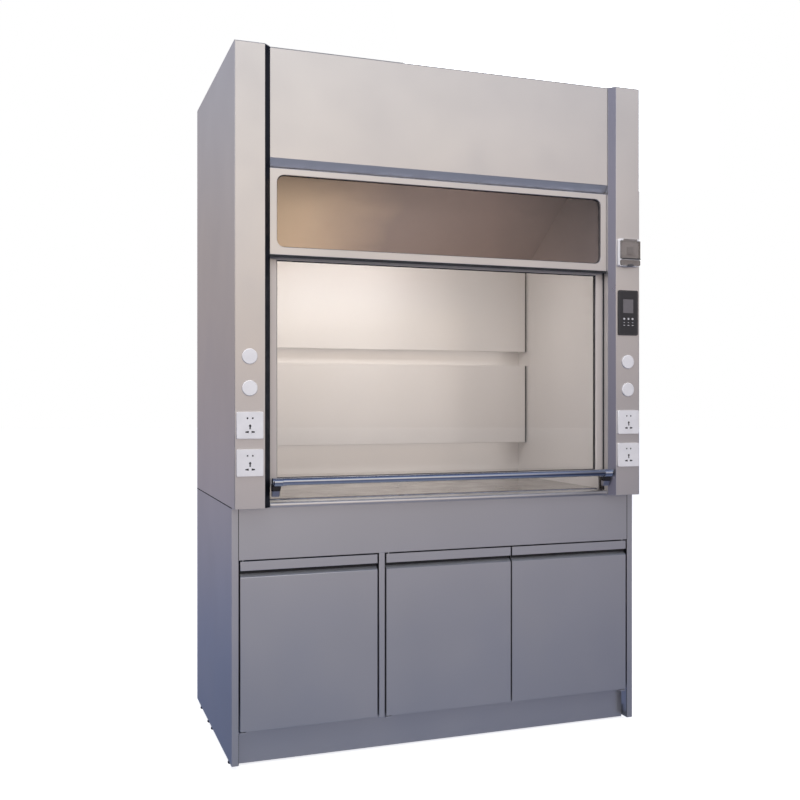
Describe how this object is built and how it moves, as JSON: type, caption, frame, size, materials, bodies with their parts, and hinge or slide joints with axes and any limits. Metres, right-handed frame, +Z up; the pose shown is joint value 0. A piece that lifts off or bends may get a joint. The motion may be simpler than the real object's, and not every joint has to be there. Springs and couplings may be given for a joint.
{
  "type": "fume hood",
  "caption": "Floor-standing laboratory fume hood: glazed counterbalanced vertical sash, lined chamber with rear baffles, service posts and a cupboard base with hinged doors.",
  "frame": {"origin": "on the floor, under the middle of the overall width and depth", "axes": "+Z up, -Y towards the user at the sash, +X to the right as that user sees it"},
  "size_m": [1.5, 0.85, 2.41],
  "materials": {
    "coat_light": "semi-gloss warm light grey powder coat",
    "coat_base": "semi-gloss cool mid grey powder coat",
    "laminate": "smooth chemical-resistant lining board",
    "worktop": "satin solid phenolic worktop",
    "aluminium": "satin coated extrusion",
    "steel": "bright zinc-plated steel",
    "chrome": "polished tube",
    "glass": "clear toughened glass",
    "smoke": "smoky clear moulding",
    "white_plastic": "white satin moulding",
    "black_plastic": "black textured moulding",
    "key_plastic": "pale translucent key",
    "rubber": "black levelling foot"
  },
  "bodies": {
    "cabinet": {"base_side_left": "coat_base", "base_side_right": "coat_base", "base_partition": "coat_base", "base_floor": "coat_base", "base_top": "coat_base", "base_back": "coat_base", "base_apron": "coat_base", "base_plinth": "coat_base", "side_panel_left": "coat_light", "side_panel_right": "coat_light", "front_post_left": "coat_light", "front_post_right": "coat_light", "top_front_panel": "coat_light", "view_panel_frame": "coat_light", "roof_panel": "coat_light", "exhaust_collar": "coat_light", "rear_panel": "coat_light", "sill": "coat_light", "liner_left": "laminate", "liner_right": "laminate", "liner_rear": "laminate", "liner_ceiling": "laminate", "baffle_upper": "laminate", "baffle_middle": "laminate", "baffle_lower": "laminate", "worktop": "worktop", "view_window_glass": "glass", "sash_track_left": "aluminium", "sash_track_right": "aluminium", "cable_left": "steel", "cable_right": "steel", "socket_left_upper": "white_plastic", "blank_cap_left_upper": "white_plastic", "socket_left_lower": "white_plastic", "blank_cap_left_lower": "white_plastic", "foot_front_left": "rubber", "foot_rear_left": "rubber", "socket_right_upper": "white_plastic", "blank_cap_right_upper": "white_plastic", "socket_right_lower": "white_plastic", "blank_cap_right_lower": "white_plastic", "foot_front_right": "rubber", "foot_rear_right": "rubber", "lamp": "white_plastic", "splash_box": "white_plastic", "control_panel": "black_plastic"},
    "sash": {"sash_frame": "aluminium", "sash_glass": "glass", "sash_handle": "chrome"},
    "counterweight_left": {"counterweight_left": "steel"},
    "counterweight_right": {"counterweight_right": "steel"},
    "pulley_left": {"pulley_left": "steel"},
    "pulley_right": {"pulley_right": "steel"},
    "door_left": {"door_left": "coat_base"},
    "door_middle": {"door_middle": "coat_base"},
    "door_right": {"door_right": "coat_base"},
    "splash_lid": {"splash_lid": "smoke"},
    "key_left": {"key_left": "key_plastic"},
    "key_middle": {"key_middle": "key_plastic"},
    "key_right": {"key_right": "key_plastic"}
  },
  "joints": [
    {"name": "sash_slide", "type": "slide", "parent": "cabinet", "child": "sash", "axis": [0, 0, 1], "range_m": [-0.05, 0.62], "deforming": ["cable_left", "cable_right"]},
    {"name": "counterweight_left_slide", "type": "slide", "parent": "cabinet", "child": "counterweight_left", "axis": [0, 0, 1], "range_m": [-0.62, 0.05]},
    {"name": "pulley_left_spin", "type": "hinge", "parent": "cabinet", "child": "pulley_left", "pos_m": [-0.659, -0.2895, 2.272], "axis": [-1, 0, 0], "continuous": true},
    {"name": "counterweight_right_slide", "type": "slide", "parent": "cabinet", "child": "counterweight_right", "axis": [0, 0, 1], "range_m": [-0.62, 0.05]},
    {"name": "pulley_right_spin", "type": "hinge", "parent": "cabinet", "child": "pulley_right", "pos_m": [0.659, -0.2895, 2.272], "axis": [-1, 0, 0], "continuous": true},
    {"name": "door_left_hinge", "type": "hinge", "parent": "cabinet", "child": "door_left", "pos_m": [-0.712, -0.345, 0.1233], "axis": [0, 0, -1], "range_deg": [0, 110]},
    {"name": "door_middle_hinge", "type": "hinge", "parent": "cabinet", "child": "door_middle", "pos_m": [-0.21133, -0.345, 0.1233], "axis": [0, 0, -1], "range_deg": [0, 110]},
    {"name": "door_right_hinge", "type": "hinge", "parent": "cabinet", "child": "door_right", "pos_m": [0.712, -0.345, 0.1233], "axis": [0, 0, 1], "range_deg": [0, 110]},
    {"name": "splash_lid_hinge", "type": "hinge", "parent": "cabinet", "child": "splash_lid", "pos_m": [0.7005, -0.4187, 1.78825], "axis": [-1, 0, 0], "range_deg": [0, 100]},
    {"name": "key_left_press", "type": "slide", "parent": "cabinet", "child": "key_left", "axis": [0, 1, 0], "range_m": [0, 0.001], "stiffness_N_per_m": 400, "springref_m": -0.001},
    {"name": "key_middle_press", "type": "slide", "parent": "cabinet", "child": "key_middle", "axis": [0, 1, 0], "range_m": [0, 0.001], "stiffness_N_per_m": 400, "springref_m": -0.001},
    {"name": "key_right_press", "type": "slide", "parent": "cabinet", "child": "key_right", "axis": [0, 1, 0], "range_m": [0, 0.001], "stiffness_N_per_m": 400, "springref_m": -0.001}
  ],
  "couplings": [
    {"joint": "counterweight_left_slide", "follows": "sash_slide", "ratio": -1},
    {"joint": "pulley_left_spin", "follows": "sash_slide", "rad_per_m": 22.222},
    {"joint": "counterweight_right_slide", "follows": "sash_slide", "ratio": -1},
    {"joint": "pulley_right_spin", "follows": "sash_slide", "rad_per_m": 22.222}
  ]
}
